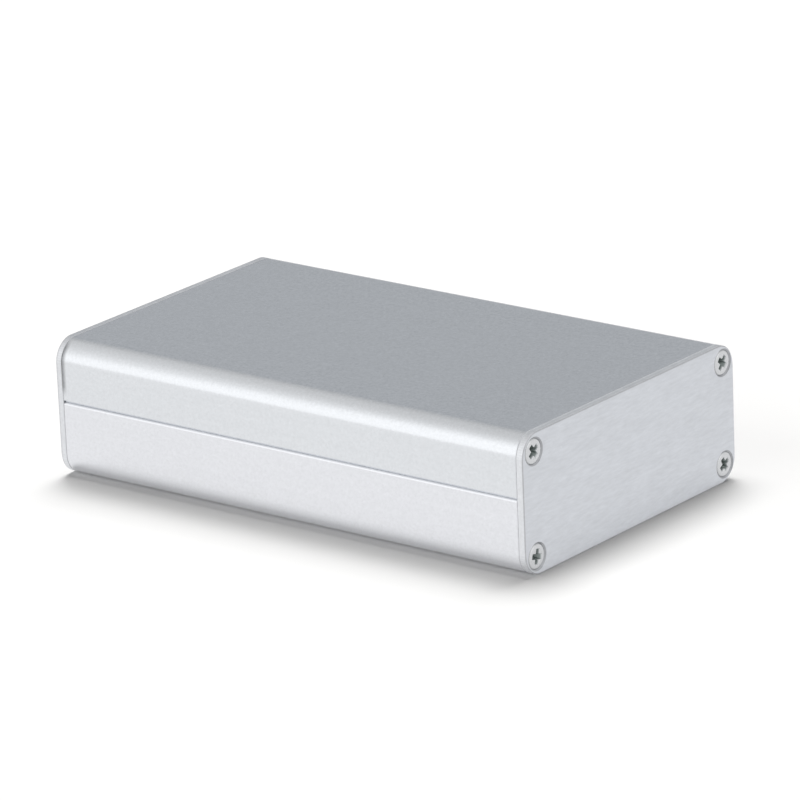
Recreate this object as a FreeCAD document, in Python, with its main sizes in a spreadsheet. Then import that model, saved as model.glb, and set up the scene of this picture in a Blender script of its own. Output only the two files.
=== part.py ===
import FreeCAD, Part
import math
import os

import Sketcher
from FreeCAD import Placement, Rotation, Vector

# Small project box of extruded aluminium. Two shells meet in a tongue-and-groove joint along
# both long sides, and two end plates are held on by four countersunk M3 screws each.
# Frame, in millimetres: X runs along the extrusion, Y across it, Z up from the underside.
# The front is the +X end, and left is the -Y side.

# Driving dimensions: name, value, meaning
SIZES = [
    ("box_length", 110, "overall, over both end plates"),
    ("box_width", 66, "overall, across the long sides"),
    ("box_height", 27, "overall, underside to top"),
    ("corner_radius", 4.6, "outer corners of the section, shells and plates alike"),
    ("wall_thickness", 1.5, "long sides of both shells"),
    ("floor_thickness", 1.5, "underside of the lower shell"),
    ("roof_thickness", 1.5, "top of the upper shell"),
    ("shell_end_chamfer", 0.05, "broken edge round the sawn ends of the shells"),
    ("seam_height", 14.95, "top of the lower shell's walls, above the underside"),
    ("seam_gap", 0.07, "open line between the two shells along the outside"),
    ("seam_shoulder_radius", 0.5, "rounded upper edge of the lower shell"),
    ("seam_chamfer", 0.4, "bevelled lower edge of the upper shell"),
    ("lip_thickness", 0.8, "outer lip of the upper shell, outside the tongue"),
    ("tongue_thickness", 0.7, "tongue of the lower shell"),
    ("tongue_height", 1.7, "tongue above the lower shell's walls"),
    ("joint_clearance", 0.1, "play on each side and at the top of the tongue"),
    ("keeper_thickness", 0.9, "inner leg of the upper shell, inside the tongue"),
    ("shelf_thickness", 1.7, "shelf of the lower shell under the joint"),
    ("slot_height", 1.8, "card slot, for a 1.6 mm circuit board"),
    ("rib_thickness", 1, "ribs between the card slots"),
    ("rib_reach", 2, "how far the ribs stand in from the side wall"),
    ("plate_thickness", 1.5, "end plates"),
    ("plate_edge_chamfer", 0.2, "broken outline edge of an end plate's outer face"),
    ("plate_inner_chamfer", 0.1, "broken outline edge of an end plate's inner face"),
    ("screw_diameter", 3, "M3 shank"),
    ("screw_length", 8, "from the top of the head to the tip"),
    ("screw_tip_chamfer", 0.4, "bevelled tip of the shank"),
    ("head_diameter", 4.9, "countersunk head"),
    ("head_flat_diameter", 4, "flat middle of the head, level with the plate"),
    ("head_crown", 0.25, "drop of the head's bevel from that flat to its rim"),
    ("seat_gap", 0.03, "head's cone to the countersink, measured along the screw"),
    ("hole_clearance", 0.1, "plate hole round the shank, on the radius"),
    ("countersink_land", 0.25, "least metal between a countersink and the plate's outline"),
    ("screw_level", 3.5, "screw axes above the underside and below the top"),
    ("port_clearance", 0.05, "screw port's bore round the shank, on the radius"),
    ("port_wall", 1.05, "wall of the screw port"),
    ("port_slit", 1.2, "slit that opens the screw port to the inside"),
    ("recess_diameter", 3, "cross recess over two wings, at the top of the head"),
    ("recess_wing", 0.8, "width of a wing at the top of the head"),
    ("recess_depth", 1.5, "cross recess"),
    ("recess_tip_diameter", 1.3, "cross recess over two wings, at its bottom"),
    ("recess_tip_wing", 0.5, "width of a wing at the bottom of the recess"),
]

# Places and sizes that follow from the sheet, as expressions
HALF_WIDTH = "(Sizes.box_width / 2)"
SHELL_LENGTH = "(Sizes.box_length - 2 * Sizes.plate_thickness)"
INNER_WALL = f"({HALF_WIDTH} - Sizes.wall_thickness)"
INNER_RADIUS = "max(Sizes.corner_radius - Sizes.wall_thickness; Sizes.wall_thickness / 4)"
CEILING = "(Sizes.box_height - Sizes.roof_thickness)"
RIB_TIP = f"({INNER_WALL} - Sizes.rib_reach)"
IN_WALL = f"({HALF_WIDTH} - Sizes.wall_thickness / 2)"

COUNTERSINK_RADIUS = "(Sizes.head_diameter / 2 + Sizes.head_crown + Sizes.seat_gap)"
# The screws sit as near to the long sides as the rounded corner allows with the land whole.
SCREW_INSET = (
    f"max({COUNTERSINK_RADIUS} + Sizes.countersink_land; Sizes.corner_radius"
    f" - (Sizes.corner_radius - {COUNTERSINK_RADIUS} - Sizes.countersink_land) / sqrt(2))"
)
SCREW_SIDE = f"({HALF_WIDTH} - {SCREW_INSET})"
SCREW_BOTTOM = f"max(Sizes.screw_level; {SCREW_INSET})"
SCREW_TOP = f"(Sizes.box_height - {SCREW_BOTTOM})"
HOLE_RADIUS = "(Sizes.screw_diameter / 2 + Sizes.hole_clearance)"
BORE_RADIUS = "(Sizes.screw_diameter / 2 + Sizes.port_clearance)"
PORT_RADIUS = f"({BORE_RADIUS} + Sizes.port_wall)"

SHELF_BOTTOM = "(Sizes.seam_height - Sizes.shelf_thickness)"
SLOT_PITCH = "(Sizes.slot_height + Sizes.rib_thickness)"
TONGUE_OUTSIDE = f"({HALF_WIDTH} - Sizes.lip_thickness - Sizes.joint_clearance)"
TONGUE_INSIDE = f"({TONGUE_OUTSIDE} - Sizes.tongue_thickness)"
GROOVE_OUTSIDE = f"({HALF_WIDTH} - Sizes.lip_thickness)"
GROOVE_INSIDE = f"({TONGUE_INSIDE} - Sizes.joint_clearance)"
GROOVE_TOP = "(Sizes.seam_height + Sizes.tongue_height + Sizes.joint_clearance)"
KEEPER_INSIDE = f"({GROOVE_INSIDE} - Sizes.keeper_thickness)"
LIP_BOTTOM = "(Sizes.seam_height + Sizes.seam_gap)"
# The upper card slot lies between the top of the keeper and the screw port above it.
KEEPER_TOP = (
    f"max({SCREW_TOP} - {PORT_RADIUS} - Sizes.slot_height;"
    f" {GROOVE_TOP} + Sizes.rib_thickness)"
)

LOWER_RIBS = 2
TOUCH = 0.001

# Sign of the X axis towards each end and of the Y axis towards each side
ENDS = {"front": "", "rear": "-"}
SIDES = {"left": "-", "right": ""}
LEVELS = {"top": SCREW_TOP, "bottom": SCREW_BOTTOM}

# Where each screw stopped as it was driven home, in degrees
DRIVE_DEGREES = {
    "front_screw_top_left": 38,
    "front_screw_top_right": 52,
    "front_screw_bottom_left": -13,
    "front_screw_bottom_right": 30,
    "rear_screw_top_left": 64,
    "rear_screw_top_right": 8,
    "rear_screw_bottom_left": 35,
    "rear_screw_bottom_right": 75,
}


def make_sheet(doc):
    sheet = doc.addObject("Spreadsheet::Sheet", "Sizes")
    for row, (alias, value, meaning) in enumerate(SIZES, start=1):
        sheet.set(f"A{row}", alias)
        sheet.set(f"B{row}", str(value))
        sheet.set(f"C{row}", meaning)
        sheet.setAlias(f"B{row}", alias)
    doc.recompute()
    return sheet


def make_body(doc, label):
    body = doc.addObject("PartDesign::Body", label)
    body.Label = label
    return body


def origin_plane(body, role):
    return next(item for item in body.Origin.OriginFeatures if item.Role == role)


def make_sketch(body, name, role, offset=None):
    """A sketch on one of the body's origin planes, raised along its normal by an expression."""
    sketch = body.newObject("Sketcher::SketchObject", name)
    sketch.AttachmentSupport = (origin_plane(body, role), [""])
    sketch.MapMode = "FlatFace"
    if offset is not None:
        sketch.setExpression("AttachmentOffset.Base.z", offset)
    return sketch


def sketch_point(sketch, across, along):
    """Where a pair of expressions puts a point of the sketch as the sizes stand."""
    return Vector(
        float(sketch.evalExpression(across)), float(sketch.evalExpression(along)), 0
    )


def tie(sketch, geometry, point, across, along):
    """Ties a point of the sketch to its two coordinates."""
    at = sketch_point(sketch, across, along)
    for kind, axis, expression, value in (
        ("DistanceX", -2, across, at.x),
        ("DistanceY", -1, along, at.y),
    ):
        if expression == "0":
            sketch.addConstraint(Sketcher.Constraint("PointOnObject", geometry, point, axis))
        else:
            rule = Sketcher.Constraint(kind, -1, 1, geometry, point, value)
            index = sketch.addConstraint(rule)
            sketch.setExpression(f"Constraints[{index}]", expression)


def add_outline(sketch, corners):
    """A closed outline of straight edges through the corners, given in order as expressions."""
    points = [sketch_point(sketch, *corner) for corner in corners]
    edges = []
    for start, end in zip(points, points[1:] + points[:1]):
        edges.append(sketch.addGeometry(Part.LineSegment(start, end), False))
    for edge, following, corner in zip(edges, edges[1:] + edges[:1], corners):
        sketch.addConstraint(Sketcher.Constraint("Coincident", edge, 2, following, 1))
        tie(sketch, edge, 1, *corner)


def add_rectangle(sketch, left, right, bottom, top):
    add_outline(sketch, [(left, bottom), (right, bottom), (right, top), (left, top)])


def add_circle(sketch, across, along, radius):
    value = float(sketch.evalExpression(radius))
    circle = Part.Circle(sketch_point(sketch, across, along), Vector(0, 0, 1), value)
    index = sketch.addGeometry(circle, False)
    tie(sketch, index, 3, across, along)
    rule = sketch.addConstraint(Sketcher.Constraint("Radius", index, value))
    sketch.setExpression(f"Constraints[{rule}]", radius)


def extrude(body, name, sketch, length, side_type="Symmetric"):
    pad = body.newObject("PartDesign::Pad", name)
    pad.Profile = sketch
    pad.SideType = side_type
    pad.setExpression("Length", length)
    body.Document.recompute()


def cut_through(body, name, sketch):
    """Cuts the sketch through a shell from end to end and makes sure that metal went."""
    before = body.Shape.Volume
    pocket = body.newObject("PartDesign::Pocket", name)
    pocket.Profile = sketch
    pocket.SideType = "Symmetric"
    pocket.setExpression("Length", SHELL_LENGTH)
    body.Document.recompute()
    if body.Shape.Volume > before - TOUCH:
        raise RuntimeError(f"{body.Label}: {name} cuts nothing")


def dress_edges(body, kind, name, size_name, size, wanted):
    """Adds a fillet or chamfer of a size to the wanted edges of the body."""
    base = body.Tip
    edges = [f"Edge{i}" for i, edge in enumerate(base.Shape.Edges, start=1) if wanted(edge)]
    feature = body.newObject(f"PartDesign::{kind}", name)
    feature.Base = (base, edges)
    feature.setExpression(size_name, size)
    body.Tip = feature
    body.Document.recompute()


def middle(edge):
    return edge.valueAt((edge.FirstParameter + edge.LastParameter) / 2)


def lengthwise(edge):
    """True for an edge that runs along the extrusion."""
    ends = [vertex.Point for vertex in edge.Vertexes]
    if len(ends) != 2:
        return False
    run = ends[1] - ends[0]
    return math.hypot(run.y, run.z) < TOUCH and abs(run.x) > TOUCH


def lengthwise_edge_at(body, across, along):
    """Picks the lengthwise edge that crosses the section at a point given by expressions."""
    at = sketch_point(body, across, along)

    def wanted(edge):
        point = middle(edge)
        return lengthwise(edge) and math.hypot(point.y - at.x, point.z - at.y) < TOUCH

    return wanted


def on_box_outline(sheet, point):
    """True where a point lies on the rounded rectangle of the box's section."""
    radius = float(sheet.corner_radius)
    half_height = float(sheet.box_height) / 2
    out_y = max(abs(point.y) - (float(sheet.box_width) / 2 - radius), 0)
    out_z = max(abs(point.z - half_height) - (half_height - radius), 0)
    return abs(math.hypot(out_y, out_z) - radius) < TOUCH


def mirror_across(body):
    """Completes a shell of which only the +Y half is modelled."""
    mirrored = body.newObject("PartDesign::Mirrored", "BothSides")
    mirrored.TransformMode = "Whole shape"
    mirrored.MirrorPlane = (origin_plane(body, "XZ_Plane"), [""])
    mirrored.Refine = True
    body.Tip = mirrored
    body.Document.recompute()


def break_sawn_ends(body, sheet):
    """Bevels the outer outline at both sawn ends of a shell."""

    def wanted(edge):
        return not lengthwise(edge) and on_box_outline(sheet, middle(edge))

    dress_edges(body, "Chamfer", "EndBevels", "Size", "Sizes.shell_end_chamfer", wanted)


def add_screw_port(body, height):
    """The C-shaped port in a shell's corner, in which the end screws cut their thread."""
    boss = make_sketch(body, "PortBoss", "YZ_Plane")
    add_circle(boss, SCREW_SIDE, height, PORT_RADIUS)
    extrude(body, "Port", boss, SHELL_LENGTH)

    bore = make_sketch(body, "PortBore", "YZ_Plane")
    add_circle(bore, SCREW_SIDE, height, BORE_RADIUS)
    cut_through(body, "Bore", bore)

    slit = make_sketch(body, "PortSlit", "YZ_Plane")
    past_port = f"{SCREW_SIDE} - 2 * {PORT_RADIUS}"
    half_slit = "Sizes.port_slit / 2"
    add_rectangle(
        slit, past_port, SCREW_SIDE, f"{height} - {half_slit}", f"{height} + {half_slit}"
    )
    cut_through(body, "Slit", slit)


def make_lower_shell(doc, sheet):
    body = make_body(doc, "lower_shell")
    walls = make_sketch(body, "WallSection", "YZ_Plane")
    add_outline(
        walls,
        [
            ("0", "0"),
            (HALF_WIDTH, "0"),
            (HALF_WIDTH, "Sizes.seam_height"),
            (INNER_WALL, "Sizes.seam_height"),
            (INNER_WALL, "Sizes.floor_thickness"),
            ("0", "Sizes.floor_thickness"),
        ],
    )
    extrude(body, "Walls", walls, SHELL_LENGTH)
    outer_corner = lengthwise_edge_at(body, HALF_WIDTH, "0")
    dress_edges(body, "Fillet", "OuterCorner", "Radius", "Sizes.corner_radius", outer_corner)
    inner_corner = lengthwise_edge_at(body, INNER_WALL, "Sizes.floor_thickness")
    dress_edges(body, "Fillet", "InnerCorner", "Radius", INNER_RADIUS, inner_corner)
    shoulder = lengthwise_edge_at(body, HALF_WIDTH, "Sizes.seam_height")
    shoulder_radius = "Sizes.seam_shoulder_radius"
    dress_edges(body, "Fillet", "SeamShoulder", "Radius", shoulder_radius, shoulder)

    shelf = make_sketch(body, "ShelfSection", "YZ_Plane")
    add_rectangle(shelf, RIB_TIP, IN_WALL, SHELF_BOTTOM, "Sizes.seam_height")
    extrude(body, "Shelf", shelf, SHELL_LENGTH)

    tongue = make_sketch(body, "TongueSection", "YZ_Plane")
    tongue_top = "Sizes.seam_height + Sizes.tongue_height"
    add_rectangle(tongue, TONGUE_INSIDE, TONGUE_OUTSIDE, SHELF_BOTTOM, tongue_top)
    extrude(body, "Tongue", tongue, SHELL_LENGTH)

    ribs = make_sketch(body, "RibSection", "YZ_Plane")
    for index in range(1, LOWER_RIBS + 1):
        bottom = f"{SHELF_BOTTOM} - {index} * {SLOT_PITCH}"
        add_rectangle(ribs, RIB_TIP, IN_WALL, bottom, f"{bottom} + Sizes.rib_thickness")
    extrude(body, "CardRibs", ribs, SHELL_LENGTH)

    add_screw_port(body, SCREW_BOTTOM)
    mirror_across(body)
    break_sawn_ends(body, sheet)
    return body


def make_upper_shell(doc, sheet):
    body = make_body(doc, "upper_shell")
    walls = make_sketch(body, "WallSection", "YZ_Plane")
    add_outline(
        walls,
        [
            ("0", "Sizes.box_height"),
            ("0", CEILING),
            (INNER_WALL, CEILING),
            (INNER_WALL, LIP_BOTTOM),
            (f"{HALF_WIDTH} - Sizes.seam_chamfer", LIP_BOTTOM),
            (HALF_WIDTH, f"{LIP_BOTTOM} + Sizes.seam_chamfer"),
            (HALF_WIDTH, "Sizes.box_height"),
        ],
    )
    extrude(body, "Walls", walls, SHELL_LENGTH)
    outer_corner = lengthwise_edge_at(body, HALF_WIDTH, "Sizes.box_height")
    dress_edges(body, "Fillet", "OuterCorner", "Radius", "Sizes.corner_radius", outer_corner)
    inner_corner = lengthwise_edge_at(body, INNER_WALL, CEILING)
    dress_edges(body, "Fillet", "InnerCorner", "Radius", INNER_RADIUS, inner_corner)

    keeper = make_sketch(body, "KeeperSection", "YZ_Plane")
    add_rectangle(keeper, KEEPER_INSIDE, GROOVE_OUTSIDE, "Sizes.seam_height", KEEPER_TOP)
    extrude(body, "Keeper", keeper, SHELL_LENGTH)

    rib = make_sketch(body, "RibSection", "YZ_Plane")
    add_rectangle(rib, RIB_TIP, IN_WALL, f"{KEEPER_TOP} - Sizes.rib_thickness", KEEPER_TOP)
    extrude(body, "CardRib", rib, SHELL_LENGTH)

    add_screw_port(body, SCREW_TOP)
    groove = make_sketch(body, "GrooveSection", "YZ_Plane")
    below_lip = "Sizes.seam_height - Sizes.joint_clearance"
    add_rectangle(groove, GROOVE_INSIDE, GROOVE_OUTSIDE, below_lip, GROOVE_TOP)
    cut_through(body, "Groove", groove)
    mirror_across(body)
    break_sawn_ends(body, sheet)
    return body


def make_end_plate(doc, end, sign):
    """A flat plate, modelled with its inner face at X = 0 and turned to face its own end."""
    body = make_body(doc, f"{end}_end_plate")
    outline = make_sketch(body, "Outline", "YZ_Plane")
    add_rectangle(outline, f"-{HALF_WIDTH}", HALF_WIDTH, "0", "Sizes.box_height")
    extrude(body, "Sheet", outline, "Sizes.plate_thickness", side_type="One side")
    dress_edges(body, "Fillet", "Corners", "Radius", "Sizes.corner_radius", lengthwise)

    def around_outer_face(edge):
        return not lengthwise(edge) and middle(edge).x > TOUCH

    def around_inner_face(edge):
        return abs(middle(edge).x) < TOUCH

    outer_size = "Sizes.plate_edge_chamfer"
    dress_edges(body, "Chamfer", "OuterBevel", "Size", outer_size, around_outer_face)
    inner_size = "Sizes.plate_inner_chamfer"
    dress_edges(body, "Chamfer", "InnerBevel", "Size", inner_size, around_inner_face)

    centres = make_sketch(body, "ScrewCentres", "YZ_Plane", "Sizes.plate_thickness")
    for side_sign in SIDES.values():
        for height in LEVELS.values():
            add_circle(centres, side_sign + SCREW_SIDE, height, HOLE_RADIUS)
    doc.recompute()
    holes = body.newObject("PartDesign::Hole", "ScrewHoles")
    holes.Profile = centres
    holes.DepthType = "ThroughAll"
    holes.HoleCutType = "Countersink"
    holes.HoleCutCustomValues = True
    holes.HoleCutCountersinkAngle = 90
    holes.setExpression("Diameter", f"2 * {HOLE_RADIUS}")
    holes.setExpression("HoleCutDiameter", f"2 * {COUNTERSINK_RADIUS}")
    doc.recompute()

    facing = 180 if sign else 0
    body.Placement = Placement(Vector(0, 0, 0), Rotation(Vector(0, 0, 1), facing))
    inner_face = "(Sizes.box_length / 2 - Sizes.plate_thickness)"
    body.setExpression("Placement.Base.x", sign + inner_face)
    return body


def add_cross(sketch, diameter, wing):
    """The outline of a four-winged cross."""
    tip, half = f"{diameter} / 2", f"{wing} / 2"
    minus_tip, minus_half = f"-{tip}", f"-{half}"
    corners = [
        (half, half), (tip, half), (tip, minus_half), (half, minus_half),
        (half, minus_tip), (minus_half, minus_tip), (minus_half, minus_half),
        (minus_tip, minus_half), (minus_tip, half), (minus_half, half),
        (minus_half, tip), (half, tip),
    ]
    add_outline(sketch, corners)


def make_screw(doc, label, end_sign, side_sign, height):
    """A countersunk screw, modelled with its head up at Z = 0 and turned into its hole."""
    body = make_body(doc, label)
    half_section = make_sketch(body, "HalfSection", "XZ_Plane")
    head = "Sizes.head_diameter / 2"
    shank = "Sizes.screw_diameter / 2"
    cone_bottom = f"-Sizes.head_crown - ({head} - {shank})"
    add_outline(
        half_section,
        [
            ("0", "0"),
            ("Sizes.head_flat_diameter / 2", "0"),
            (head, "-Sizes.head_crown"),
            (shank, cone_bottom),
            (shank, "Sizes.screw_tip_chamfer - Sizes.screw_length"),
            (f"{shank} - Sizes.screw_tip_chamfer", "-Sizes.screw_length"),
            ("0", "-Sizes.screw_length"),
        ],
    )
    turned = body.newObject("PartDesign::Revolution", "Turned")
    turned.Profile = half_section
    turned.ReferenceAxis = (half_section, ["V_Axis"])
    turned.Angle = 360
    doc.recompute()

    mouth = make_sketch(body, "RecessMouth", "XY_Plane")
    add_cross(mouth, "Sizes.recess_diameter", "Sizes.recess_wing")
    tip = make_sketch(body, "RecessTip", "XY_Plane", "-Sizes.recess_depth")
    add_cross(tip, "Sizes.recess_tip_diameter", "Sizes.recess_tip_wing")
    doc.recompute()
    before = body.Shape.Volume
    recess = body.newObject("PartDesign::SubtractiveLoft", "CrossRecess")
    recess.Profile = mouth
    recess.Sections = [tip]
    recess.Ruled = True
    doc.recompute()
    if body.Shape.Volume > before - TOUCH:
        raise RuntimeError(f"{label}: the recess cuts nothing")

    outwards = Rotation(Vector(0, 1, 0), -90 if end_sign else 90)
    drive = Rotation(Vector(0, 0, 1), DRIVE_DEGREES[label])
    body.Placement = Placement(Vector(0, 0, 0), outwards.multiply(drive))
    body.setExpression("Placement.Base.x", f"{end_sign}(Sizes.box_length / 2)")
    body.setExpression("Placement.Base.y", side_sign + SCREW_SIDE)
    body.setExpression("Placement.Base.z", height)
    return body


def make_all(doc):
    sheet = make_sheet(doc)
    bodies = [make_lower_shell(doc, sheet), make_upper_shell(doc, sheet)]
    for end, end_sign in ENDS.items():
        bodies.append(make_end_plate(doc, end, end_sign))
        for level, height in LEVELS.items():
            for side, side_sign in SIDES.items():
                label = f"{end}_screw_{level}_{side}"
                bodies.append(make_screw(doc, label, end_sign, side_sign, height))
    doc.recompute()
    return bodies


def check(doc, bodies):
    for item in doc.Objects:
        if "Invalid" in item.State or "Error" in item.State:
            raise RuntimeError(f"{item.Label} failed: {item.State}")
    for body in bodies:
        shape = body.Shape
        if shape.isNull() or not shape.isValid() or len(shape.Solids) != 1:
            raise RuntimeError(f"{body.Label} is not one sound solid")


def main():
    os.makedirs("parts", exist_ok=True)
    doc = FreeCAD.newDocument("ProjectBox")
    bodies = make_all(doc)
    check(doc, bodies)
    for body in bodies:
        body.Shape.exportStep(f"parts/{body.Label}.step")
        print(f"{body.Label}: {body.Shape.Volume:.1f} mm3")


main()
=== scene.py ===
import math

import bmesh
import bpy
from mathutils import Matrix, Vector


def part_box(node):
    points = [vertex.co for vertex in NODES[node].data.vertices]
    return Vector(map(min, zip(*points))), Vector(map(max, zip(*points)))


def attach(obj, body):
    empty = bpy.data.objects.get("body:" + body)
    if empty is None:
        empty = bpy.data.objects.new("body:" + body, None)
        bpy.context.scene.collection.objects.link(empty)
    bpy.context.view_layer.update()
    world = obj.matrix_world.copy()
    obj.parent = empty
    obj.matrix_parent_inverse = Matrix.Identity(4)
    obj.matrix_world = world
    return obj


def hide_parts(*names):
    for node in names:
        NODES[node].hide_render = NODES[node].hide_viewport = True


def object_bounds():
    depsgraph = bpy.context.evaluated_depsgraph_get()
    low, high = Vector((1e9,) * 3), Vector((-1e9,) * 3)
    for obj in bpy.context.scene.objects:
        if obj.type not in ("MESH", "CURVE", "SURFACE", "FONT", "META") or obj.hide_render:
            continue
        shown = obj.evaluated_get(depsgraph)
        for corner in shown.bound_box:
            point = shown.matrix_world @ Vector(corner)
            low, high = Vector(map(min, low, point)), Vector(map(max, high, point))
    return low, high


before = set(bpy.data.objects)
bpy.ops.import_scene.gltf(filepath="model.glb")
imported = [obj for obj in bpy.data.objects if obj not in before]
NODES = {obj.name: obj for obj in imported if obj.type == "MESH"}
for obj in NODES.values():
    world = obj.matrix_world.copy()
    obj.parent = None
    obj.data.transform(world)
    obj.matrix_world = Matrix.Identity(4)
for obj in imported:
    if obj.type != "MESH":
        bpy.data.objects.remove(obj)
cad_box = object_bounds()

MM = 0.001
PLATES = ["front_end_plate", "rear_end_plate"]
SCREWS = sorted(name for name in NODES if "_screw_" in name)

# The photographer's camera, solved from the box's corners
IMAGE_WIDTH = 800
SENSOR_WIDTH = 36
FOCAL_LENGTH_PIXELS = 6011.0
CAMERA_AZIMUTH = math.radians(38.481)
CAMERA_ELEVATION = math.radians(18.507)
CAMERA_ROLL = math.radians(-2.386)
CAMERA_DISTANCE = 1131.9 * MM
CENTRE_OFFSET_PIXELS = (-6.14, -8.53)
SIGHT = 10

# The light of the studio, where 1 is the white of the backdrop
# Softboxes: share of the light, width as seen from the box, and where they hang from it
SOFTBOXES = {
    "overhead_softbox": (0.45, math.radians(34), Vector((-0.18, 0.13, 1.0))),
    "back_softbox": (0.40, math.radians(34), Vector((-0.18, 0.43, 1.0))),
    "front_softbox": (0.24, math.radians(50), Vector((-0.35, -1.0, 0.5))),
}
ROOM_BRIGHT_SIDE = Vector((0.62, -0.785, 0.0))
# Levels of the room against the cosine of the angle from its bright side
ROOM_LEVELS = [
    (-0.95, 0.478), (-0.83, 0.46), (-0.66, 0.62), (-0.53, 0.81), (-0.34, 0.90), (-0.12, 0.88),
    (0.02, 0.91), (0.09, 1.11), (0.16, 1.3), (0.25, 1.26), (0.45, 1.22), (0.68, 0.95), (1.0, 0.85),
]
# The room darkens to this share overhead, from this height up
ROOM_CEILING = 0.5
CEILING_HEIGHT = 0.7
ROOM_ON_FLOOR = 0.14
# Levels under this one are a little blue
ROOM_TINTED_UNDER = 0.6
ROOM_TINT = Vector((0.97, 1.0, 1.04))
# The paper: its tone for light and for the camera, and how white the metal sees it
PAPER_TINT = (1.0, 0.996, 0.988)
FLOOR_TONE = 0.88
FLOOR_LIFT = 1.03
FLOOR_IN_METAL = 1.0
FLOOR_WHITENESS = 0.72
FLOOR_FADE = 9 * MM
FLOOR_CONTACT_BY_SIDES = 0.08
FLOOR_CONTACT_BY_ENDS = 0.75
FLOOR_SIZE = 2.4
FLOOR_DROP = 0.05 * MM
FLOOR_FIBRES_PER_METRE = 900.0
FLOOR_FIBRE_TONES = (0.997, 1.003)

# The box's section and ends, as far as the finishes follow them
HALF_LENGTH = 55 * MM
HALF_WIDTH = 33 * MM
HALF_HEIGHT = 13.5 * MM
CORNER_RADIUS = 4.6 * MM
PLATE_THICKNESS = 1.5 * MM
LIP_HEIGHT = 15.02 * MM
LIP_BEVEL = 0.4 * MM
LIP_LOWERING = 0.06 * MM
SCREW_INSET = 3.4545 * MM
SCREW_LEVEL = 3.5 * MM
COUNTERSINK_RADIUS = 2.73 * MM
COUNTERSINK_FADE = 0.0546 * MM

# Faces count as level from this share of their normal on, and as upright up to the other
LEVEL_FACE = 0.99
UPRIGHT_FACE = 0.1
# How the solids' meshes are cleaned up before they are dressed
MERGE_DISTANCE = 0.0005 * MM
LEVEL_TOLERANCE = 0.001 * MM
FLAT_BEND = math.radians(0.3)
CORNER_SMOOTHING = math.radians(30)

# Where each screw stopped as it was driven home, in degrees, as in the CAD
DRIVE_DEGREES = {
    "front_screw_top_left": 38,
    "front_screw_top_right": 52,
    "front_screw_bottom_left": -13,
    "front_screw_bottom_right": 30,
    "rear_screw_top_left": 64,
    "rear_screw_top_right": 8,
    "rear_screw_bottom_left": 35,
    "rear_screw_bottom_right": 75,
}

# M3 countersunk screw with a cross recess
HEAD_CROWN = 0.25 * MM
HEAD_RIM = 0.02 * MM
HEAD_SEGMENTS = 64
# Rings of the head from its rim inwards: radius, and depth under its flat middle
HEAD_RINGS = [(2.24 * MM, 0.11 * MM), (1.95 * MM, 0.03 * MM), (1.62 * MM, 0.0)]
HEAD_FLAT_RADIUS = HEAD_RINGS[-1][0]
EDGE_SOFTENING = 0.05 * MM
SCREW_SMOOTHING = math.radians(40)
CORE_RADIUS = 1.2 * MM
THREAD_DEPTH = 0.29 * MM
THREAD_CORNERS = 4
THREAD_PITCH = 0.5 * MM
THREAD_STEPS = 32
THREAD_FLATTENING = 0.7
THREAD_MERGE_DISTANCE = 0.0001 * MM
TIP_LENGTH = 0.4 * MM
TIP_WIDTH = 0.7
RECESS_RADIUS = 1.5 * MM
RECESS_WING = 1.05 * MM
RECESS_DEPTH = 1.5 * MM
RECESS_TAPER = 0.5
RECESS_ROUNDING = 0.12 * MM
# Edges that bend more than this are the recess's mouth
MOUTH_BEND = math.radians(20)
# Points within these shares of the recess's size lie in it, unless they lie on the core
RECESS_REACH = 1.01
CORE_REACH = 0.95
CORE_BELOW = 0.6
LATHE_MAP = "lathe_map"

# Detail and roughness of the noise that marks are drawn with
PLAIN_NOISE = (2.0, 0.5)
GRAIN_NOISE = (3.0, 0.65)
FINE_LINES_NOISE = (2.0, 0.6)
SMUDGE_NOISE = (3.0, 0.55)
HAIR_NOISE = (1.0, 0.5)
FIBRE_NOISE = (3.0, 0.5)

# Finishes: what each mark adds to the tone, the dullness or the relief of its metal
UPPER_SHELL_TINT = (0.765, 0.785, 0.812)
LOWER_SHELL_TINT = (0.815, 0.825, 0.858)
SHELL_TONE = {
    "lines": 0.03,
    "smudge": 0.012,
    "scratch": 0.05,
    "grime": -0.2,
    "shade": -0.5,
    "lip": -0.1,
}
SHELL_ROUGHNESS = 0.22
SHELL_DULLING = {"grain": 0.02, "smudge": 0.03, "scratch": -0.08}
SHELL_RELIEF = {"lines": 0.5, "scratch": -0.4}
GRAINS_PER_METRE = 1800.0
GRAIN_DEPTH = 0.012 * MM
GRAIN_DIMPLES = 0.4
# The grain's tone grows from the sides to the roof, between two heights above the lip
GRAIN_TONE_ON_SIDES = 0.09
GRAIN_TONE_ON_ROOF = 0.19
ROOF_HEIGHTS = (11.4 * MM, 11.95 * MM)
# Drawn and brushed lines: the share of the fine ones, and how much wider the coarse ones are
FINE_LINES = 0.6
COARSE_LINES_SCALE = 0.35
EXTRUSION_STRETCH = (0.012, 1.0, 1.0)
EXTRUSION_LINES_PER_METRE = 1800.0
SMUDGES_PER_METRE = 70.0
# Hair scratches: the turn and the offset of each set, and how thin and how rare they are
HAIR_SETS = ((0.5, 0.0), (-0.9, 3.7))
HAIR_TURN_AXIS = (0.5, 0.6, 0.62)
HAIR_STRETCH = (0.08, 1.0, 1.0)
HAIRS_PER_METRE = 330.0
HAIR_WIDTH = 0.0035
HAIR_PLACES_PER_METRE = 120.0
HAIR_PLACES = (0.6, 0.66)
# The painted shade on the lip's bevel at the seam fades out at this share of its width
LIP_FADES = 0.7
# Grime patches and painted shade along the joints with the end plates, over this width from the
# plate
JOINT_GRIME_AND_SHADE = 0.3 * MM
GRIME_PATCHES_PER_METRE = 900.0
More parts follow.
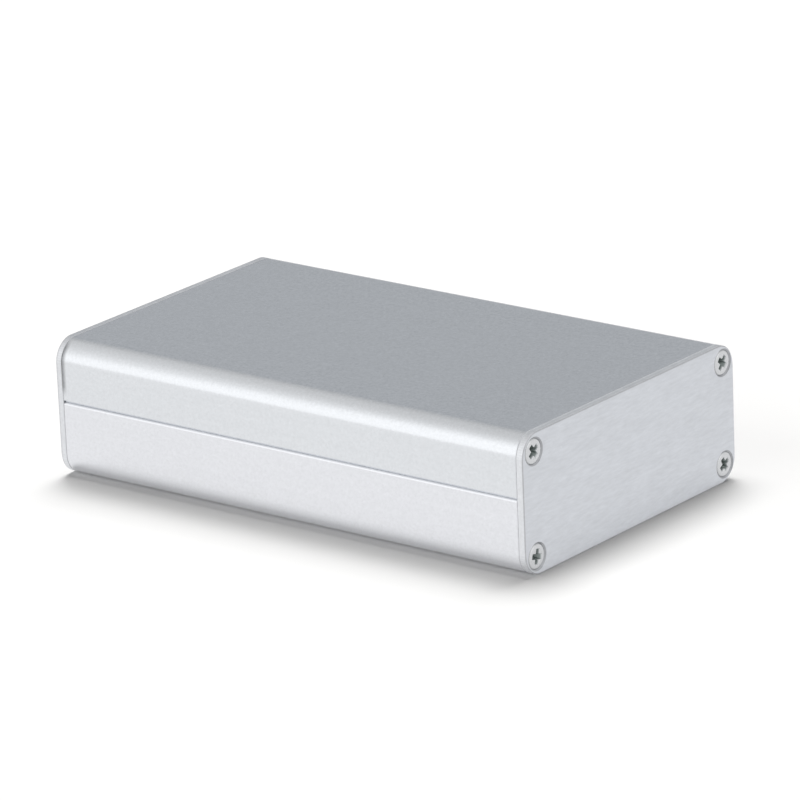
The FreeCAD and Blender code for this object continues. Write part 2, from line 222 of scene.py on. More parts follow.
# The shade along the rear joint, as distances from the end, and its heights above the lip
SHELL_SHADE = (PLATE_THICKNESS + 0.2 * MM, PLATE_THICKNESS + 1.1 * MM)
PLATE_SHADE = (PLATE_THICKNESS - 0.35 * MM, PLATE_THICKNESS)
SHADE_STARTS = (1 * MM, 3.5 * MM)
SHADE_STOPS = (10.4 * MM, 11.9 * MM)

PLATE_FACE_TINT = (0.684, 0.705, 0.744)
PLATE_RIM_TINT = (0.81, 0.825, 0.85)
# Painted shade on the broken corner
PLATE_CORNER_SHADE_TINT = (0.55, 0.56, 0.58)
# Painted shade in the countersinks
COUNTERSINK_SHADE_TINT = (0.45, 0.46, 0.48)
PLATE_TONE = {
    "brushing": 0.2,
    "grain": 0.03,
    "smudge": 0.015,
    "scratch": 0.06,
    "worn_edge": -0.25,
    "shade": -0.35,
}
PLATE_ROUGHNESS = 0.38
PLATE_DULLING = {"brushing": 0.08, "smudge": 0.03, "below_face": 0.08}
PLATE_RELIEF = {"grain": 0.2, "scratch": -0.5}
PLATE_ANISOTROPY = 0.6
PLATE_GRAINS_PER_METRE = 5200.0
BRUSHING_STRETCH = (1.0, 0.22, 1.0)
BRUSHING_LINES_PER_METRE = 1800.0
BRUSHING_DEPTH = 0.015 * MM
# How far under a plate's surface its corner begins
CORNER_STARTS = (0.002 * MM, 0.02 * MM)
# Painted shade along the rear plate's rim next to its face: full up to the first distance, gone by
# the second
REAR_RIM_SHADE_BAND = (0.1 * MM, 0.6 * MM)

SCREW_TINT = (0.65, 0.66, 0.675)
SCREW_RIM_SHADE_TINT = (0.42, 0.43, 0.44)
RECESS_STAIN_AND_SHADE_TINT = (0.30, 0.34, 0.33)
SCREW_TONE = {"rings": 0.12, "grain": 0.05}
SCREW_ROUGHNESS = 0.26
SCREW_DULLING = {"grain": 0.06, "recess": 0.25}
SCREW_RELIEF = {"rings": 0.5}
SCREW_GRAINS_PER_METRE = 6000.0
TURNING_RINGS = 26.0
TURNING_DEPTH = 0.006 * MM
STAINS_PER_METRE = 2500.0
STAIN_SPREAD = (0.2, 0.8, 0.9, 1.0)
# Where painted shade darkens the head's rim, as a share of its radius, and where stain and painted
# shade darken the recess, as a share of its depth
RIM_DARKENS = (0.88, 0.99)
RECESS_DARKENS = (0.01, 0.3)


# Modelling helpers


def deselect_all():
    bpy.ops.object.select_all(action="DESELECT")


def make_active(piece):
    deselect_all()
    piece.select_set(True)
    bpy.context.view_layer.objects.active = piece


def edit(piece, elements):
    """Opens a piece in edit mode, to pick faces or edges."""
    make_active(piece)
    bpy.ops.object.mode_set(mode="EDIT")
    bpy.ops.mesh.select_mode(type=elements)


def stop_editing():
    bpy.ops.object.mode_set(mode="OBJECT")


def pick(elements, test):
    """Selects the faces or the edges of the open piece that pass a test."""
    bpy.ops.mesh.select_mode(type=elements)
    bpy.ops.mesh.select_all(action="DESELECT")
    mesh = bmesh.from_edit_mesh(bpy.context.object.data)
    for element in mesh.faces if elements == "FACE" else mesh.edges:
        element.select_set(test(element))
    bmesh.update_edit_mesh(bpy.context.object.data)


def pick_faces(test):
    pick("FACE", test)


def pick_edges(test):
    pick("EDGE", test)


def faces_up(face):
    return face.normal.z > LEVEL_FACE


def faces_down(face):
    return face.normal.z < -LEVEL_FACE


def faces_aside(face):
    return abs(face.normal.z) < UPRIGHT_FACE


def edge_level(edge, level):
    return all(abs(vertex.co.z - level) < LEVEL_TOLERANCE for vertex in edge.verts)


def extrude_down(depth, width):
    """Draws the picked face down, and scales it about the axis."""
    bpy.ops.mesh.extrude_region_move(TRANSFORM_OT_translate={"value": (0, 0, -depth)})
    bpy.ops.transform.resize(value=(width, width, 1), center_override=(0, 0, 0))


def drop_maps(piece):
    for layer in list(piece.data.uv_layers):
        piece.data.uv_layers.remove(layer)


def finish_piece(piece, node, material):
    """Dresses a piece, has it move with the box and hides the CAD node that it stands for."""
    piece.data.materials.clear()
    piece.data.materials.append(material)
    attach(piece, "root")
    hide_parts(node)


# Screws


def model_blank(head_radius, length):
    """The screw's head and core as turned, head up at Z = 0."""
    deselect_all()
    bpy.ops.mesh.primitive_cylinder_add(
        vertices=HEAD_SEGMENTS,
        radius=head_radius,
        depth=HEAD_RIM,
        location=(0, 0, -HEAD_CROWN - HEAD_RIM / 2),
    )
    bpy.ops.object.transform_apply(location=True, rotation=True, scale=True)
    blank = bpy.context.object
    edit(blank, "FACE")
    pick_faces(faces_up)
    radius, depth = head_radius, HEAD_CROWN
    for ring_radius, ring_depth in HEAD_RINGS:
        bpy.ops.mesh.inset(thickness=radius - ring_radius)
        bpy.ops.transform.translate(value=(0, 0, depth - ring_depth))
        radius, depth = ring_radius, ring_depth

    cone_depth = head_radius - CORE_RADIUS
    shank_depth = length - HEAD_CROWN - HEAD_RIM - cone_depth - TIP_LENGTH
    pick_faces(faces_down)
    extrude_down(cone_depth, CORE_RADIUS / head_radius)
    extrude_down(shank_depth, 1)
    extrude_down(TIP_LENGTH, TIP_WIDTH)

    def on_crown(edge):
        outside = all(vertex.co.xy.length > 1.01 * HEAD_FLAT_RADIUS for vertex in edge.verts)
        return outside and any(edge_level(edge, -depth) for _, depth in HEAD_RINGS)

    pick_edges(on_crown)
    bpy.ops.mesh.bevel(offset=2 * EDGE_SOFTENING, segments=2, affect="EDGES")
    stop_editing()
    return blank


def model_recess_punch():
    """The cross that is punched into a head: four tapered wings."""
    deselect_all()
    bpy.ops.mesh.primitive_cube_add(size=1, location=(0, 0, -RECESS_DEPTH / 2))
    bpy.context.object.scale = (RECESS_WING, RECESS_WING, RECESS_DEPTH)
    bpy.ops.object.transform_apply(location=True, rotation=True, scale=True)
    punch = bpy.context.object
    edit(punch, "FACE")
    pick_faces(faces_aside)
    bpy.ops.mesh.extrude_faces_move(
        TRANSFORM_OT_shrink_fatten={"value": RECESS_RADIUS - RECESS_WING / 2}
    )
    pick_faces(faces_down)
    bpy.ops.transform.resize(
        value=(RECESS_TAPER, RECESS_TAPER, 1), center_override=(0, 0, -RECESS_DEPTH)
    )

    def upright(edge):
        first, second = (vertex.co.z for vertex in edge.verts)
        return abs(first - second) > RECESS_DEPTH / 2

    pick_edges(upright)
    bpy.ops.mesh.bevel(offset=RECESS_ROUNDING, segments=3, affect="EDGES")
    pick_faces(faces_up)
    bpy.ops.transform.translate(value=(0, 0, LEVEL_TOLERANCE))
    stop_editing()
    return punch


def punch_recess(screw, punch):
    """Cuts the cross recess and softens its mouth."""
    make_active(screw)
    cut = screw.modifiers.new("Recess", "BOOLEAN")
    cut.operation = "DIFFERENCE"
    cut.solver = "EXACT"
    cut.object = punch
    bpy.ops.object.modifier_apply(modifier=cut.name)
    bpy.data.objects.remove(punch)
    edit(screw, "EDGE")

    def mouth(edge):
        inside = all(vertex.co.xy.length < HEAD_FLAT_RADIUS for vertex in edge.verts)
        return edge_level(edge, 0) and inside and edge.calc_face_angle(0) > MOUTH_BEND

    pick_edges(mouth)
    bpy.ops.mesh.bevel(offset=EDGE_SOFTENING, segments=2, affect="EDGES")
    stop_editing()


def map_head(screw, head_radius):
    """A UV map with each point's radius as U, and as V its depth inside the cross recess."""
    turned = screw.data.uv_layers.new(name=LATHE_MAP)
    for loop in screw.data.loops:
        point = screw.data.vertices[loop.vertex_index].co
        radius, depth = point.xy.length, -point.z
        on_core = radius > CORE_REACH * CORE_RADIUS and depth > CORE_BELOW * RECESS_DEPTH
        near = radius < RECESS_REACH * RECESS_RADIUS and depth < RECESS_REACH * RECESS_DEPTH
        share = depth / RECESS_DEPTH if near and not on_core else 0
        turned.data[loop.index].uv = (radius / head_radius, share)


def model_thread(top, bottom):
    """The helical ridge of the thread between two heights, closed at both ends."""
    turns = int((top - bottom) / THREAD_PITCH)
    deselect_all()
    bpy.ops.mesh.primitive_circle_add(
        vertices=THREAD_CORNERS,
        radius=THREAD_DEPTH,
        location=(CORE_RADIUS, 0, top),
        rotation=(math.pi / 2, 0, 0),
    )
    thread = bpy.context.object
    thread.scale = (1, THREAD_FLATTENING, 1)
    bpy.ops.object.transform_apply(location=True, rotation=True, scale=True)
    helix = thread.modifiers.new("Helix", "SCREW")
    helix.axis = "Z"
    helix.angle = math.tau
    helix.screw_offset = -THREAD_PITCH
    helix.iterations = turns
    helix.steps = THREAD_STEPS
    helix.render_steps = THREAD_STEPS
    bpy.ops.object.modifier_apply(modifier=helix.name)
    edit(thread, "EDGE")
    bpy.ops.mesh.select_all(action="SELECT")
    bpy.ops.mesh.remove_doubles(threshold=THREAD_MERGE_DISTANCE)
    bpy.ops.mesh.fill_holes(sides=THREAD_CORNERS)
    bpy.ops.mesh.normals_make_consistent(inside=False)
    stop_editing()
    thread.data.uv_layers.new(name=LATHE_MAP)
    return thread


def model_screw(head_radius, length):
    """One whole screw, head up at Z = 0, which every screw of the box is a copy of."""
    screw = model_blank(head_radius, length)
    drop_maps(screw)
    punch_recess(screw, model_recess_punch())
    drop_maps(screw)
    map_head(screw, head_radius)
    under_head = -HEAD_CROWN - HEAD_RIM - (head_radius - CORE_RADIUS)
    thread = model_thread(under_head - THREAD_DEPTH, TIP_LENGTH - length)
    deselect_all()
    thread.select_set(True)
    screw.select_set(True)
    bpy.context.view_layer.objects.active = screw
    bpy.ops.object.join()
    bpy.ops.object.shade_smooth_by_angle(angle=SCREW_SMOOTHING)
    return screw


def drive_screws(material):
    """Copies the screw into every hole, turned to where it was driven home."""
    low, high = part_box(SCREWS[0])
    pattern = model_screw((high.y - low.y) / 2, high.x - low.x)
    for name in SCREWS:
        low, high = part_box(name)
        front = name.startswith("front")
        head = Vector((high.x if front else low.x, (low.y + high.y) / 2, (low.z + high.z) / 2))
        outwards = Matrix.Rotation(math.radians(90 if front else -90), 4, "Y")
        drive = Matrix.Rotation(math.radians(DRIVE_DEGREES[name]), 4, "Z")
        screw = pattern.copy()
        screw.data = pattern.data.copy()
        screw.name = f"cross_recess_{name}"
        screw.data.transform(Matrix.Translation(head) @ outwards @ drive)
        bpy.context.collection.objects.link(screw)
        finish_piece(screw, name, material)
    bpy.data.objects.remove(pattern)


# Shells and end plates


def smooth_copy(name, material):
    """A merged copy of a CAD node, whose rounded corners shade smoothly."""
    piece = NODES[name].copy()
    piece.data = NODES[name].data.copy()
    piece.name = f"finished_{name}"
    piece.parent = None
    for key in list(piece.keys()):
        del piece[key]
    bpy.context.collection.objects.link(piece)
    edit(piece, "VERT")
    bpy.ops.mesh.select_all(action="SELECT")
    bpy.ops.mesh.remove_doubles(threshold=MERGE_DISTANCE)
    bpy.ops.mesh.dissolve_limited(angle_limit=FLAT_BEND)
    stop_editing()
    bpy.ops.object.shade_smooth_by_angle(angle=CORNER_SMOOTHING)
    flats = piece.modifiers.new("FlatFaces", "WEIGHTED_NORMAL")
    flats.keep_sharp = True
    flats.weight = 100
    bpy.ops.object.modifier_apply(modifier=flats.name)
    finish_piece(piece, name, material)
    return piece


def settle_lip(shell):
    """Lets the upper shell's lip down, so that only a hairline of the seam stays open."""
    edit(shell, "FACE")

    def lip_edge(face):
        centre = face.calc_center_median()
        return faces_down(face) and abs(centre.z - LIP_HEIGHT) < 10 * LEVEL_TOLERANCE

    pick_faces(lip_edge)
    bpy.ops.transform.translate(value=(0, 0, -LIP_LOWERING))
    stop_editing()


# Finishes


class Graph:
    """Short ways to add and link nodes in one node tree."""

    def __init__(self, tree):
        self.nodes = tree.nodes
        self.links = tree.links

    def add(self, kind, inputs=None, **settings):
        node = self.nodes.new(f"ShaderNode{kind}")
        for name, value in settings.items():
            setattr(node, name, value)
        for name, value in (inputs or {}).items():
            if isinstance(value, bpy.types.NodeSocket):
                self.links.new(value, node.inputs[name])
            else:
                node.inputs[name].default_value = value
        return node

    def math(self, operation, *values):
        inputs = dict(enumerate(values))
        return self.add("Math", inputs, operation=operation).outputs[0]

    def vector(self, operation, *values):
        inputs = dict(enumerate(values))
        return self.add("VectorMath", inputs, operation=operation).outputs

    def span(self, value, start, end, low=0.0, high=1.0, smooth=True):
        """Carries a value from one range to another, held at both ends."""
        inputs = {"Value": value, "From Min": start, "From Max": end}
        inputs |= {"To Min": low, "To Max": high}
        kind = "SMOOTHSTEP" if smooth else "LINEAR"
        return self.add("MapRange", inputs, interpolation_type=kind).outputs["Result"]

    def noise(self, position, scale, look=PLAIN_NOISE):
        detail, roughness = look
        inputs = {"Vector": position, "Scale": scale, "Detail": detail, "Roughness": roughness}
        return self.add("TexNoise", inputs).outputs["Fac"]

    def stretch(self, position, factors):
        return self.vector("MULTIPLY", position, factors)["Vector"]

    def scaled(self, colour, amount):
        """Multiplies a colour by a value."""
        node = self.add("VectorMath", {0: colour, "Scale": amount}, operation="SCALE")
        return node.outputs["Vector"]

    def centred(self, value):
        """Carries a value from 0 to 1 over to -1 to 1."""
        return self.math("MULTIPLY_ADD", value, 2.0, -1.0)

    def layered(self, base, shares, **marks):
        """Adds marks to a base value, each by its share."""
        for name, mark in marks.items():
            base = self.math("MULTIPLY_ADD", mark, shares[name], base)
        return base

    def relief(self, height, depth):
        """The normal of a surface with this height, from 0 to 1, over this depth."""
        inputs = {"Height": height, "Strength": 1.0, "Distance": depth}
        return self.add("Bump", inputs).outputs["Normal"]

    def blend(self, share, first, second):
        """Blends two colours by a share."""
        node = self.add("Mix", data_type="RGBA")
        for name, value in (("Factor_Float", share), ("A_Color", first), ("B_Color", second)):
            socket = next(item for item in node.inputs if item.identifier == name)
            if isinstance(value, bpy.types.NodeSocket):
                self.links.new(value, socket)
            else:
                socket.default_value = (*value, 1)
        return next(item for item in node.outputs if item.identifier == "Result_Color")

    def use(self, group, inputs):
        return self.add("Group", inputs, node_tree=group).outputs


def new_group(name, inputs, outputs):
    """A shared node group with named sockets, and the graph to fill it with."""
    tree = bpy.data.node_groups.new(name, "ShaderNodeTree")
    for label, kind in inputs:
        tree.interface.new_socket(label, in_out="INPUT", socket_type=f"NodeSocket{kind}")
    for label, kind in outputs:
        tree.interface.new_socket(label, in_out="OUTPUT", socket_type=f"NodeSocket{kind}")
    given = tree.nodes.new("NodeGroupInput").outputs
    result = tree.nodes.new("NodeGroupOutput").inputs
    return tree, Graph(tree), given, result


def blasted_grain_group():
    """The fine even grain that blasting leaves: a height, and a tone round 0."""
    tree, graph, given, result = new_group(
        "blasted_grain",
        [("Position", "Vector"), ("Grains Per Metre", "Float")],
        [("Height", "Float"), ("Tone", "Float")],
    )
    grain = graph.noise(given["Position"], given["Grains Per Metre"], GRAIN_NOISE)
    dimple_inputs = {"Vector": given["Position"], "Scale": given["Grains Per Metre"]}
    dimples = graph.add("TexVoronoi", dimple_inputs, feature="F1").outputs["Distance"]
    rest = graph.math("MULTIPLY", grain, 1 - GRAIN_DIMPLES)
    height = graph.math("MULTIPLY_ADD", dimples, GRAIN_DIMPLES, rest)
    graph.links.new(height, result["Height"])
    graph.links.new(graph.centred(grain), result["Tone"])
    return tree


def drawn_lines_group():
    """Fine parallel lines, long where the stretch is small: a height, and a tone round 0."""
    tree, graph, given, result = new_group(
        "drawn_lines",
        [("Position", "Vector"), ("Stretch", "Vector"), ("Lines Per Metre", "Float")],
        [("Height", "Float"), ("Tone", "Float")],
    )
    along = graph.stretch(given["Position"], given["Stretch"])
    coarse_scale = graph.math("MULTIPLY", given["Lines Per Metre"], COARSE_LINES_SCALE)
    fine = graph.noise(along, given["Lines Per Metre"], FINE_LINES_NOISE)
    coarse = graph.noise(along, coarse_scale)
    rest = graph.math("MULTIPLY", coarse, 1 - FINE_LINES)
    height = graph.math("MULTIPLY_ADD", fine, FINE_LINES, rest)
    graph.links.new(height, result["Height"])
    graph.links.new(graph.centred(height), result["Tone"])
    return tree


def handling_marks_group():
    """What handling leaves: broad faint smudges, and a few hair-thin scratches."""
    tree, graph, given, result = new_group(
        "handling_marks",
        [("Position", "Vector")],
        [("Smudge", "Float"), ("Scratch", "Float")],
    )
    smudge = graph.noise(given["Position"], SMUDGES_PER_METRE, SMUDGE_NOISE)
    graph.links.new(graph.centred(smudge), result["Smudge"])
    hairs = []
    for angle, offset in HAIR_SETS:
        turn = {"Vector": given["Position"], "Axis": HAIR_TURN_AXIS, "Angle": angle}
        turned = graph.add("VectorRotate", turn).outputs["Vector"]
        moved = graph.vector("ADD", turned, (offset, offset, offset))["Vector"]
        drawn = graph.noise(graph.stretch(moved, HAIR_STRETCH), HAIRS_PER_METRE, HAIR_NOISE)
        near = graph.math("ABSOLUTE", graph.math("SUBTRACT", drawn, 0.5))
        hair = graph.span(near, 0.0, HAIR_WIDTH, 1.0, 0.0)
        places = graph.noise(moved, HAIR_PLACES_PER_METRE, HAIR_NOISE)
        rare = graph.span(places, *HAIR_PLACES)
        hairs.append(graph.math("MULTIPLY", hair, rare))
    graph.links.new(graph.math("MAXIMUM", *hairs), result["Scratch"])
    return tree


def box_places_group():
    """A point's distances from the box's outline, end, screw axes and lip, and its end."""
    tree, graph, given, result = new_group(
        "box_places",
        [("Position", "Vector")],
        [
            ("Under Outline", "Float"),
            ("From End", "Float"),
            ("From Screw Axis", "Float"),
            ("Above Lip", "Float"),
            ("At Rear", "Float"),
        ],
    )
    level = graph.vector("SUBTRACT", given["Position"], (0.0, 0.0, HALF_HEIGHT))["Vector"]
    folded = graph.vector("ABSOLUTE", level)["Vector"]
    parts = graph.add("SeparateXYZ", {"Vector": folded}).outputs
    graph.links.new(graph.math("SUBTRACT", HALF_LENGTH, parts["X"]), result["From End"])

    past_y = graph.math("SUBTRACT", parts["Y"], HALF_WIDTH - CORNER_RADIUS)
    past_z = graph.math("SUBTRACT", parts["Z"], HALF_HEIGHT - CORNER_RADIUS)
    corner = graph.add(
        "CombineXYZ",
        {"X": graph.math("MAXIMUM", past_y, 0.0), "Y": graph.math("MAXIMUM", past_z, 0.0)},
    ).outputs["Vector"]
    outside = graph.vector("LENGTH", corner)["Value"]
    inside = graph.math("MINIMUM", graph.math("MAXIMUM", past_y, past_z), 0.0)
    reached = graph.math("ADD", outside, inside)
    graph.links.new(graph.math("SUBTRACT", CORNER_RADIUS, reached), result["Under Outline"])

    from_axis = graph.add(
        "CombineXYZ",
        {
            "X": graph.math("SUBTRACT", parts["Y"], HALF_WIDTH - SCREW_INSET),
            "Y": graph.math("SUBTRACT", parts["Z"], HALF_HEIGHT - SCREW_LEVEL),
        },
    ).outputs["Vector"]
    graph.links.new(graph.vector("LENGTH", from_axis)["Value"], result["From Screw Axis"])
    whole = graph.add("SeparateXYZ", {"Vector": given["Position"]}).outputs
    graph.links.new(graph.math("SUBTRACT", whole["Z"], LIP_HEIGHT), result["Above Lip"])
    graph.links.new(graph.span(whole["X"], -MM, MM, 1.0, 0.0), result["At Rear"])
    return tree


def new_material(name):
    material = bpy.data.materials.new(name)
    material.use_nodes = True
    material.node_tree.nodes.clear()
    return material, Graph(material.node_tree)


def rear_shade(graph, places, by_joint):
    """The shade along the upper part of the rear joint, which fades towards lip and roof."""
    shade = graph.math("MULTIPLY", by_joint, places["At Rear"])
    shade = graph.math("MULTIPLY", shade, graph.span(places["Above Lip"], *SHADE_STARTS))
    return graph.math("MULTIPLY", shade, graph.span(places["Above Lip"], *SHADE_STOPS, 1, 0))


def metal_surface(graph, colour, roughness, normal, anisotropy=0.0):
    """The metal of a finish, from its colour, roughness and normal."""
    inputs = {
        "Metallic": 1.0,
        "Base Color": colour,
        "Roughness": roughness,
        "Normal": normal,
        "Anisotropic": anisotropy,
    }
    shader = graph.add("BsdfPrincipled", inputs)
    graph.add("OutputMaterial", {"Surface": shader.outputs["BSDF"]})
    return shader


def shell_finish(name, tint, groups):
    """Blasted and clear-anodised extrusion, with faint lines along its length, painted shade at
    the seam, and grime with painted shade at the joints.
    """
    material, graph = new_material(name)
    position = graph.add("TexCoord").outputs["Object"]
    grain_inputs = {"Position": position, "Grains Per Metre": GRAINS_PER_METRE}
    grain = graph.use(groups["grain"], grain_inputs)
    lines = graph.use(
        groups["lines"],
        {
            "Position": position,
            "Stretch": EXTRUSION_STRETCH,
            "Lines Per Metre": EXTRUSION_LINES_PER_METRE,
        },
    )
    marks = graph.use(groups["marks"], {"Position": position})
    places = graph.use(groups["places"], {"Position": position})

    # Grime patches and painted shade in a band along the joints with the end plates
    patches = graph.noise(position, GRIME_PATCHES_PER_METRE)
    at_joint = graph.span(places["From End"], PLATE_THICKNESS, PLATE_THICKNESS + JOINT_GRIME_AND_SHADE, 1, 0)
    by_joint = graph.span(places["From End"], *SHELL_SHADE, 1, 0)
    # Painted shade on the bevel at the seam between the shells
    off_lip = graph.math("ABSOLUTE", graph.math("SUBTRACT", places["Above Lip"], LIP_BEVEL / 2))
    grain_tone = graph.span(
        places["Above Lip"], *ROOF_HEIGHTS, GRAIN_TONE_ON_SIDES, GRAIN_TONE_ON_ROOF
    )
    tone = graph.layered(
        graph.math("MULTIPLY_ADD", grain["Tone"], grain_tone, 1.0),
        SHELL_TONE,
        lines=lines["Tone"],
        smudge=marks["Smudge"],
        scratch=marks["Scratch"],
        grime=graph.math("MULTIPLY", at_joint, patches),
        shade=rear_shade(graph, places, by_joint),
        lip=graph.span(off_lip, LIP_BEVEL / 2, LIP_FADES * LIP_BEVEL, 1, 0),
    )
    dulled = graph.layered(
        SHELL_ROUGHNESS,
        SHELL_DULLING,
        grain=grain["Tone"],
        smudge=marks["Smudge"],
        scratch=marks["Scratch"],
    )
    height = graph.layered(
        grain["Height"], SHELL_RELIEF, lines=lines["Height"], scratch=marks["Scratch"]
    )
    normal = graph.relief(height, GRAIN_DEPTH)
    metal_surface(graph, graph.scaled(tint, tone), dulled, normal)
    return material


def plate_finish(name, groups):
    """Brushed sheet with bare sawn edges, and painted shade on its broken corner, along its rear
    rim and in its countersinks.
    """
    material, graph = new_material(name)
    position = graph.add("TexCoord").outputs["Object"]
    brushing = graph.use(
        groups["lines"],
        {
            "Position": position,
            "Stretch": BRUSHING_STRETCH,
            "Lines Per Metre": BRUSHING_LINES_PER_METRE,
        },
    )
    grain_inputs = {"Position": position, "Grains Per Metre": PLATE_GRAINS_PER_METRE}
    grain = graph.use(groups["grain"], grain_inputs)
    marks = graph.use(groups["marks"], {"Position": position})
    places = graph.use(groups["places"], {"Position": position})

    # Painted shade: the broken corner below the face takes a darker tint
    below_face = graph.span(places["From End"], *CORNER_STARTS)
    at_rim = graph.span(places["Under Outline"], *CORNER_STARTS, 1, 0)
    at_corner = graph.math("MULTIPLY", below_face, graph.math("SUBTRACT", 1.0, at_rim))
    # Painted shade in the countersinks round the screws
    past_screw = COUNTERSINK_RADIUS + COUNTERSINK_FADE
    at_screw = graph.span(places["From Screw Axis"], COUNTERSINK_RADIUS, past_screw, 1, 0)
    in_countersink = graph.math("MULTIPLY", at_corner, at_screw)
    rear_rim = graph.math("MULTIPLY", places["At Rear"], at_rim)
    # Painted shade on the rear plate's rim next to its face
    worn_edge = graph.span(places["From End"], *REAR_RIM_SHADE_BAND, 1, 0)

    colour = graph.blend(at_rim, PLATE_FACE_TINT, PLATE_RIM_TINT)
    colour = graph.blend(at_corner, colour, PLATE_CORNER_SHADE_TINT)
    colour = graph.blend(in_countersink, colour, COUNTERSINK_SHADE_TINT)
    tone = graph.layered(
        1.0,
        PLATE_TONE,
        brushing=brushing["Tone"],
        grain=grain["Tone"],
        smudge=marks["Smudge"],
        scratch=marks["Scratch"],
        worn_edge=graph.math("MULTIPLY", rear_rim, worn_edge),
        shade=rear_shade(graph, places, graph.span(places["From End"], *PLATE_SHADE)),
    )
    dulled = graph.layered(
        PLATE_ROUGHNESS,
        PLATE_DULLING,
        brushing=brushing["Tone"],
        smudge=marks["Smudge"],
        below_face=below_face,
    )
    height = graph.layered(
        brushing["Height"], PLATE_RELIEF, grain=grain["Height"], scratch=marks["Scratch"]
    )
    shader = metal_surface(
        graph,
        graph.scaled(colour, tone),
        dulled,
        graph.relief(height, BRUSHING_DEPTH),
        PLATE_ANISOTROPY,
    )
    along = graph.add("CombineXYZ", {"Y": 1.0}).outputs["Vector"]
    graph.links.new(along, shader.inputs["Tangent"])
    return material


def screw_finish(name, groups):
    """Nickel plate over turned steel, with painted shade under the rim and stain with painted
    shade inside the cross.
    """
    material, graph = new_material(name)
    position = graph.add("TexCoord").outputs["Object"]
    turned = graph.add("UVMap", uv_map=LATHE_MAP).outputs["UV"]
    across = graph.add("SeparateXYZ", {"Vector": turned}).outputs
    grain_inputs = {"Position": position, "Grains Per Metre": SCREW_GRAINS_PER_METRE}
    grain = graph.use(groups["grain"], grain_inputs)
    ring_place = graph.add("CombineXYZ", {"X": across["X"]}).outputs["Vector"]
    rings = graph.centred(graph.noise(ring_place, TURNING_RINGS))

    in_recess = graph.span(across["Y"], *RECESS_DARKENS)
    # Painted shade at and under the head's rim
    at_rim = graph.span(across["X"], *RIM_DARKENS)
    # Stain and painted shade inside the cross recess, in patches
    patchy = graph.noise(position, STAINS_PER_METRE)
    stain_and_shade = graph.math("MULTIPLY", in_recess, graph.span(patchy, *STAIN_SPREAD))

    colour = graph.blend(at_rim, SCREW_TINT, SCREW_RIM_SHADE_TINT)
    colour = graph.blend(stain_and_shade, colour, RECESS_STAIN_AND_SHADE_TINT)
    tone = graph.layered(1.0, SCREW_TONE, rings=rings, grain=grain["Tone"])
    dulled = graph.layered(SCREW_ROUGHNESS, SCREW_DULLING, grain=grain["Tone"], recess=in_recess)
    height = graph.layered(grain["Height"], SCREW_RELIEF, rings=rings)
    normal = graph.relief(height, TURNING_DEPTH)
    metal_surface(graph, graph.scaled(colour, tone), dulled, normal)
    return material


# Studio


def lay_floor():
    """White paper, which the metal sees whiter than it is, least so where the box rests."""
    deselect_all()
    bpy.ops.mesh.primitive_plane_add(size=FLOOR_SIZE, location=(0, 0, -FLOOR_DROP))
    floor = bpy.context.object
    floor.name = "studio_floor"
    material, graph = new_material("studio_paper")
    path = graph.add("LightPath").outputs
    lift = graph.span(path["Is Camera Ray"], 0, 1, FLOOR_TONE, FLOOR_LIFT, smooth=False)
    position = graph.add("TexCoord").outputs["Object"]
    fibre = graph.noise(position, FLOOR_FIBRES_PER_METRE, FIBRE_NOISE)
    fibre_tone = graph.span(fibre, 0, 1, *FLOOR_FIBRE_TONES, smooth=False)
    tone = graph.math("MULTIPLY", lift, fibre_tone)
    paper = graph.add("BsdfDiffuse", {"Color": graph.scaled(PAPER_TINT, tone)})
    place = graph.vector("ABSOLUTE", position)["Vector"]
    resting = (HALF_LENGTH, HALF_WIDTH - CORNER_RADIUS, 0.0)
    past = graph.vector("SUBTRACT", place, resting)["Vector"]
    away = graph.vector("LENGTH", graph.vector("MAXIMUM", past, (0, 0, 0))["Vector"])["Value"]
    past_end = graph.add("SeparateXYZ", {"Vector": past}).outputs["X"]
    contact = graph.span(
        past_end,
        -PLATE_THICKNESS,
        PLATE_THICKNESS,
        FLOOR_CONTACT_BY_SIDES,
        FLOOR_CONTACT_BY_ENDS,
    )
    share = graph.span(away, 0.0, FLOOR_FADE, contact, FLOOR_WHITENESS)
    share = graph.math("MULTIPLY", share, path["Is Glossy Ray"])
    glow = graph.add("Emission", {"Color": (1, 1, 1, 1), "Strength": FLOOR_IN_METAL})
    shaders = {1: paper.outputs["BSDF"], 2: glow.outputs["Emission"]}
    mix = graph.add("MixShader", {"Fac": share, **shaders})
    graph.add("OutputMaterial", {"Surface": mix.outputs["Shader"]})
    floor.data.materials.append(material)


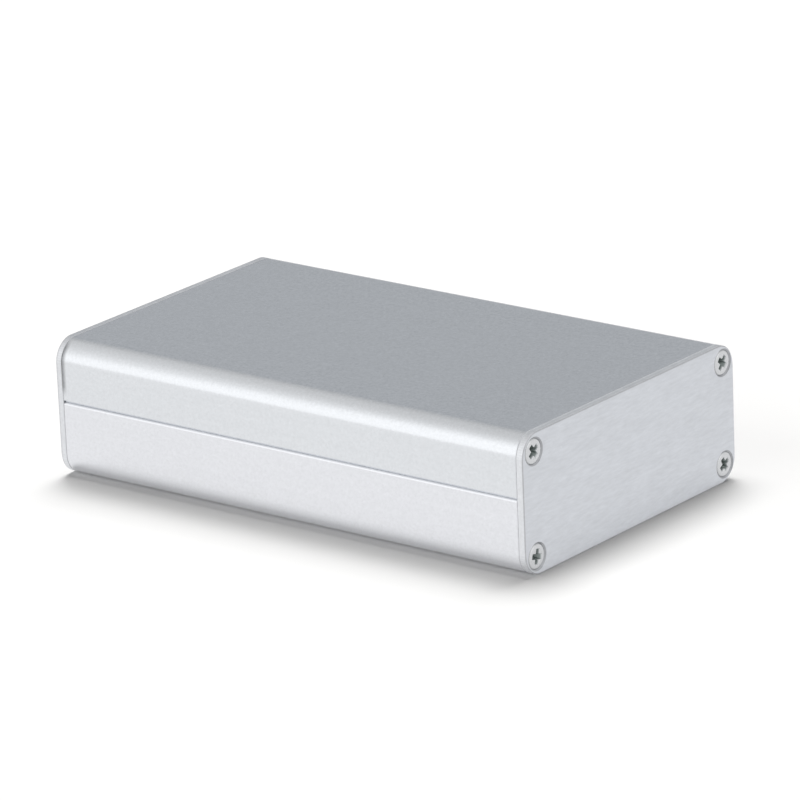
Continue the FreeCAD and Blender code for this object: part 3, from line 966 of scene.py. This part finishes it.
def light_room():
    """A pale room, darker on the far side, round a white backdrop that only the camera sees."""
    world = bpy.data.worlds.new("studio_room")
    bpy.context.scene.world = world
    world.use_nodes = True
    world.cycles.sampling_method = "NONE"
    world.node_tree.nodes.clear()
    graph = Graph(world.node_tree)
    direction = graph.add("TexCoord").outputs["Generated"]
    bright_side = tuple(ROOM_BRIGHT_SIDE.normalized())
    facing = graph.vector("DOT_PRODUCT", direction, bright_side)["Value"]
    place = graph.span(facing, -1, 1, smooth=False)
    ramp = graph.add("ValToRGB", {"Fac": place})
    stops = ramp.color_ramp.elements
    while len(stops) > 1:
        stops.remove(stops[-1])
    for index, (at, level) in enumerate(ROOM_LEVELS):
        stop = stops[0] if index == 0 else stops.new((at + 1) / 2)
        stop.position = (at + 1) / 2
        tint = ROOM_TINT if level < ROOM_TINTED_UNDER else Vector((1, 1, 1))
        stop.color = (*(level * tint), 1)
    height = graph.add("SeparateXYZ", {"Vector": direction}).outputs["Z"]
    ceiling = graph.span(height, CEILING_HEIGHT, 1, 1, ROOM_CEILING, smooth=False)
    path = graph.add("LightPath").outputs
    on_floor = graph.span(path["Diffuse Depth"], 0, 1, 1, ROOM_ON_FLOOR, smooth=False)
    strength = graph.math("MULTIPLY", ceiling, on_floor)
    room = graph.add("Background", {"Color": ramp.outputs["Color"], "Strength": strength})
    white = graph.add("Background", {"Color": (1, 1, 1, 1)})
    shaders = {1: room.outputs["Background"], 2: white.outputs["Background"]}
    mix = graph.add("MixShader", {"Fac": path["Is Camera Ray"], **shaders})
    graph.add("OutputWorld", {"Surface": mix.outputs["Shader"]})


def hang_softbox(name, strength, width, place):
    """A wide soft light on the floor; the metal mirrors the room instead of it."""
    deselect_all()
    bpy.ops.object.light_add(type="SUN")
    lamp = bpy.context.object
    lamp.name = name
    lamp.data.energy = strength * math.pi
    lamp.data.angle = width
    lamp.visible_glossy = False
    lamp.rotation_euler = place.to_track_quat("Z", "Y").to_euler()


def place_camera():
    low, high = cad_box
    centre = (Vector(low) + Vector(high)) / 2
    back = Vector(
        (
            math.sin(CAMERA_AZIMUTH) * math.cos(CAMERA_ELEVATION),
            -math.cos(CAMERA_AZIMUTH) * math.cos(CAMERA_ELEVATION),
            math.sin(CAMERA_ELEVATION),
        )
    )
    level = Vector((math.cos(CAMERA_AZIMUTH), math.sin(CAMERA_AZIMUTH), 0))
    upright = back.cross(level)
    side = level * math.cos(CAMERA_ROLL) + upright * math.sin(CAMERA_ROLL)
    up = upright * math.cos(CAMERA_ROLL) - level * math.sin(CAMERA_ROLL)
    bpy.ops.object.camera_add()
    camera = bpy.context.object
    turn = Matrix((side, up, back)).transposed().to_4x4()
    camera.matrix_world = Matrix.Translation(centre + back * CAMERA_DISTANCE) @ turn
    camera.data.sensor_width = SENSOR_WIDTH
    camera.data.lens = FOCAL_LENGTH_PIXELS * SENSOR_WIDTH / IMAGE_WIDTH
    camera.data.shift_x = -CENTRE_OFFSET_PIXELS[0] / IMAGE_WIDTH
    camera.data.shift_y = -CENTRE_OFFSET_PIXELS[1] / IMAGE_WIDTH
    camera.data.clip_end = SIGHT
    bpy.context.scene.camera = camera


groups = {
    "grain": blasted_grain_group(),
    "lines": drawn_lines_group(),
    "marks": handling_marks_group(),
    "places": box_places_group(),
}
upper_finish = shell_finish("shell_anodised_upper", UPPER_SHELL_TINT, groups)
lower_finish = shell_finish("shell_anodised_lower", LOWER_SHELL_TINT, groups)
settle_lip(smooth_copy("upper_shell", upper_finish))
smooth_copy("lower_shell", lower_finish)
brushed_sheet = plate_finish("plate_brushed_sheet", groups)
for plate in PLATES:
    smooth_copy(plate, brushed_sheet)
drive_screws(screw_finish("screw_nickel_plate", groups))

lay_floor()
light_room()
for name, settings in SOFTBOXES.items():
    hang_softbox(name, *settings)
place_camera()
bpy.context.scene.view_settings.view_transform = "Standard"
